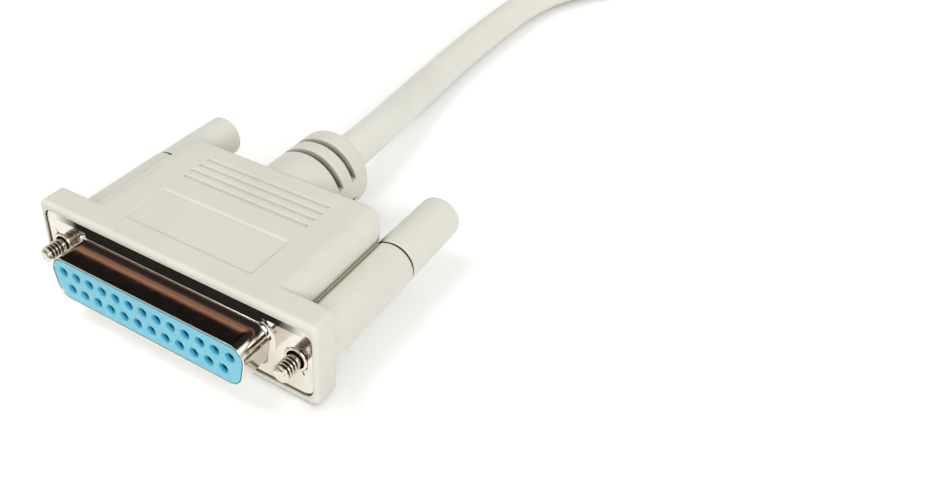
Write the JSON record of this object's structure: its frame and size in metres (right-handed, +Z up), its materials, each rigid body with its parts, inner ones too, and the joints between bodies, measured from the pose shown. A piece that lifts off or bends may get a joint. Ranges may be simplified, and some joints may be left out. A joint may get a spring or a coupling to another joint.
{
  "type": "d-sub connector",
  "caption": "Moulded data lead: D-shaped socket connector with a blue insulator, captive thumbscrews and slotted strain relief, its cable coiled behind.",
  "frame": {"origin": "centre of the contact pattern on the socket connector's mating face", "axes": "X to the right along the connector's width, Y from the mating face back to the cable, Z up with the wide side of the D; the connector lies flat on the floor"},
  "size_m": [0.0972, 0.2521, 0.044],
  "materials": {
    "hood_vinyl": "moulded vinyl, fine satin",
    "knob_vinyl": "moulded vinyl, fine satin",
    "jacket_vinyl": "extruded vinyl jacket",
    "nickel_shell": "bright nickel plating",
    "eyelet_nickel": "nickel-plated brass",
    "screw_nickel": "nickel-plated steel",
    "ring_spring_steel": "plain spring steel",
    "ferrule_brass": "plain",
    "gold_contact": "gold flash on copper alloy",
    "blue_insulator": "moulded thermoplastic",
    "inner_polyethylene": "plain",
    "wire_insulation": "plain",
    "tie_strap": "woven strap"
  },
  "bodies": {
    "connector": {"hood": "hood_vinyl", "inner_mould": "inner_polyethylene", "front_shell": "nickel_shell", "rear_shell": "nickel_shell", "front_insulator": "blue_insulator", "rear_insulator": "blue_insulator", "eyelets": "eyelet_nickel", "crimp_ferrule": "ferrule_brass", "wires": "wire_insulation", "contact_01": "gold_contact", "contact_02": "gold_contact", "contact_03": "gold_contact", "contact_04": "gold_contact", "contact_05": "gold_contact", "contact_06": "gold_contact", "contact_07": "gold_contact", "contact_08": "gold_contact", "contact_09": "gold_contact", "contact_10": "gold_contact", "contact_11": "gold_contact", "contact_12": "gold_contact", "contact_13": "gold_contact", "contact_14": "gold_contact", "contact_15": "gold_contact", "contact_16": "gold_contact", "contact_17": "gold_contact", "contact_18": "gold_contact", "contact_19": "gold_contact", "contact_20": "gold_contact", "contact_21": "gold_contact", "contact_22": "gold_contact", "contact_23": "gold_contact", "contact_24": "gold_contact", "contact_25": "gold_contact", "cord_lead": "jacket_vinyl", "cord_coil": "jacket_vinyl", "cord_tail": "jacket_vinyl", "coil_tie": "tie_strap", "far_hood": "hood_vinyl", "far_inner_mould": "inner_polyethylene", "far_front_shell": "nickel_shell", "far_rear_shell": "nickel_shell", "far_front_insulator": "blue_insulator", "far_rear_insulator": "blue_insulator", "far_eyelets": "eyelet_nickel", "far_crimp_ferrule": "ferrule_brass", "far_wires": "wire_insulation", "far_pins": "gold_contact"},
    "screw_float_left": {"retaining_ring_left": "ring_spring_steel"},
    "thumbscrew_left": {"thumbscrew_screw_left": "screw_nickel", "thumbscrew_knob_left": "knob_vinyl"},
    "screw_float_right": {"retaining_ring_right": "ring_spring_steel"},
    "thumbscrew_right": {"thumbscrew_screw_right": "screw_nickel", "thumbscrew_knob_right": "knob_vinyl"},
    "far_screw_float_left": {"far_retaining_ring_left": "ring_spring_steel"},
    "far_thumbscrew_left": {"far_thumbscrew_screw_left": "screw_nickel", "far_thumbscrew_knob_left": "knob_vinyl"},
    "far_screw_float_right": {"far_retaining_ring_right": "ring_spring_steel"},
    "far_thumbscrew_right": {"far_thumbscrew_screw_right": "screw_nickel", "far_thumbscrew_knob_right": "knob_vinyl"}
  },
  "joints": [
    {"name": "float_left", "type": "slide", "parent": "connector", "child": "screw_float_left", "axis": [0, 1, 0], "range_m": [0, 0.004]},
    {"name": "turn_left", "type": "hinge", "parent": "screw_float_left", "child": "thumbscrew_left", "pos_m": [-0.02352, 0, 0], "axis": [0, 1, 0], "continuous": true},
    {"name": "float_right", "type": "slide", "parent": "connector", "child": "screw_float_right", "axis": [0, 1, 0], "range_m": [0, 0.004]},
    {"name": "turn_right", "type": "hinge", "parent": "screw_float_right", "child": "thumbscrew_right", "pos_m": [0.02352, 0, 0], "axis": [0, 1, 0], "continuous": true},
    {"name": "far_float_left", "type": "slide", "parent": "connector", "child": "far_screw_float_left", "axis": [0, 1, 0], "range_m": [0, 0.004]},
    {"name": "far_turn_left", "type": "hinge", "parent": "far_screw_float_left", "child": "far_thumbscrew_left", "pos_m": [-0.06552, 0.158, 0.02865], "axis": [0, 1, 0], "continuous": true},
    {"name": "far_float_right", "type": "slide", "parent": "connector", "child": "far_screw_float_right", "axis": [0, 1, 0], "range_m": [0, 0.004]},
    {"name": "far_turn_right", "type": "hinge", "parent": "far_screw_float_right", "child": "far_thumbscrew_right", "pos_m": [-0.01848, 0.158, 0.02865], "axis": [0, 1, 0], "continuous": true}
  ]
}
